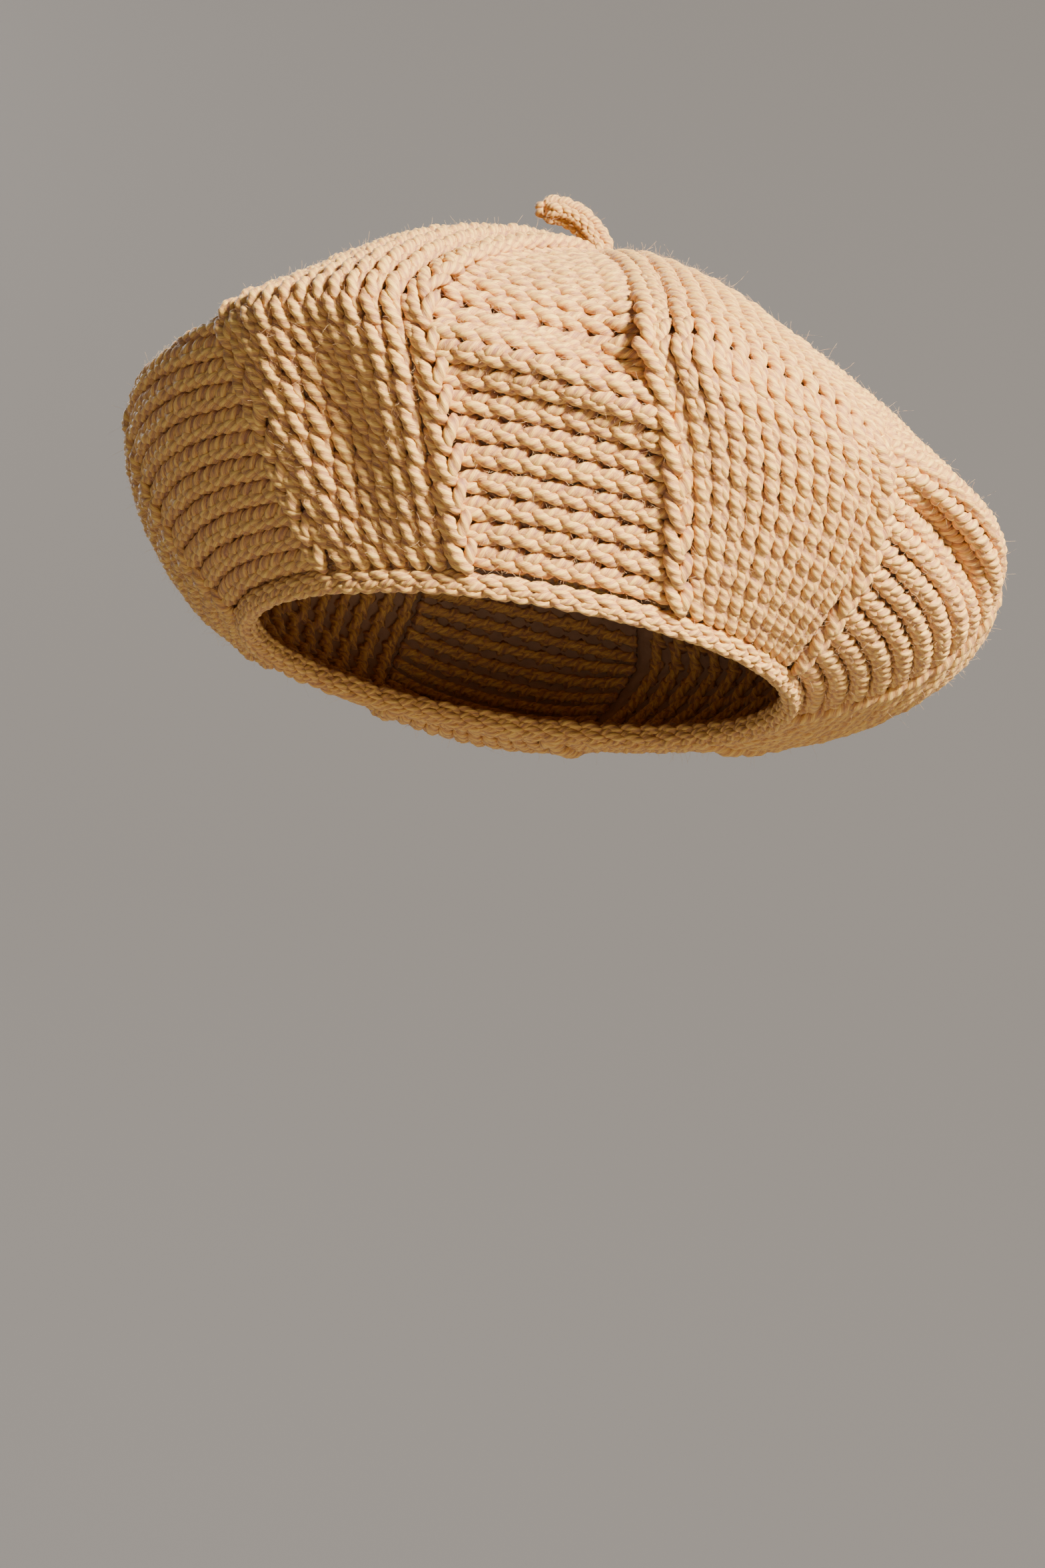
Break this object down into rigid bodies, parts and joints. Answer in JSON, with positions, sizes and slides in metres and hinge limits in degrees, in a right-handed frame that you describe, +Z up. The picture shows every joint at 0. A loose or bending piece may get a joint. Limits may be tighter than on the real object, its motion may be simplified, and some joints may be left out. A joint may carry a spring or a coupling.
{
  "type": "beret",
  "caption": "Chunky knitted beret of alternating plain and ribbed gores with raised seam chains, a rolled brim edging and a short leaning stalk.",
  "frame": {"origin": "centre of the head opening, in the plane of the brim's underside", "axes": "+Z up through the crown; -Y to the ribbed front gore; +X to the side where the rim sits lower"},
  "size_m": [0.2865, 0.2731, 0.1604],
  "materials": {
    "plain_knit": "plied wool-blend yarn, matt with a faint sheen and a fuzzy halo",
    "ribbed_knit": "plied wool-blend yarn in ribs, matt with a faint sheen and a fuzzy halo",
    "seam_yarn": "plied wool-blend yarn in raised chains, matt with a faint sheen"
  },
  "bodies": {
    "hat": {"gore_1_ribbed": "ribbed_knit", "gore_2_plain": "plain_knit", "gore_3_ribbed": "ribbed_knit", "gore_4_plain": "plain_knit", "gore_5_ribbed": "ribbed_knit", "gore_6_plain": "plain_knit", "gore_7_ribbed": "ribbed_knit", "gore_8_plain": "plain_knit", "gore_9_ribbed": "ribbed_knit", "gore_10_plain": "plain_knit", "seam_1": "seam_yarn", "seam_2": "seam_yarn", "seam_3": "seam_yarn", "seam_4": "seam_yarn", "seam_5": "seam_yarn", "seam_6": "seam_yarn", "seam_7": "seam_yarn", "seam_8": "seam_yarn", "seam_9": "seam_yarn", "seam_10": "seam_yarn", "brim_edging": "seam_yarn", "crown_closing": "plain_knit"},
    "stalk": {"stalk": "seam_yarn"}
  },
  "joints": [
    {"name": "stalk_lean", "type": "hinge", "parent": "hat", "child": "stalk", "pos_m": [0.0075, 0, 0.1395], "axis": [0, 1, 0], "range_deg": [-10, 50], "stiffness_Nm_per_rad": 0.004}
  ]
}
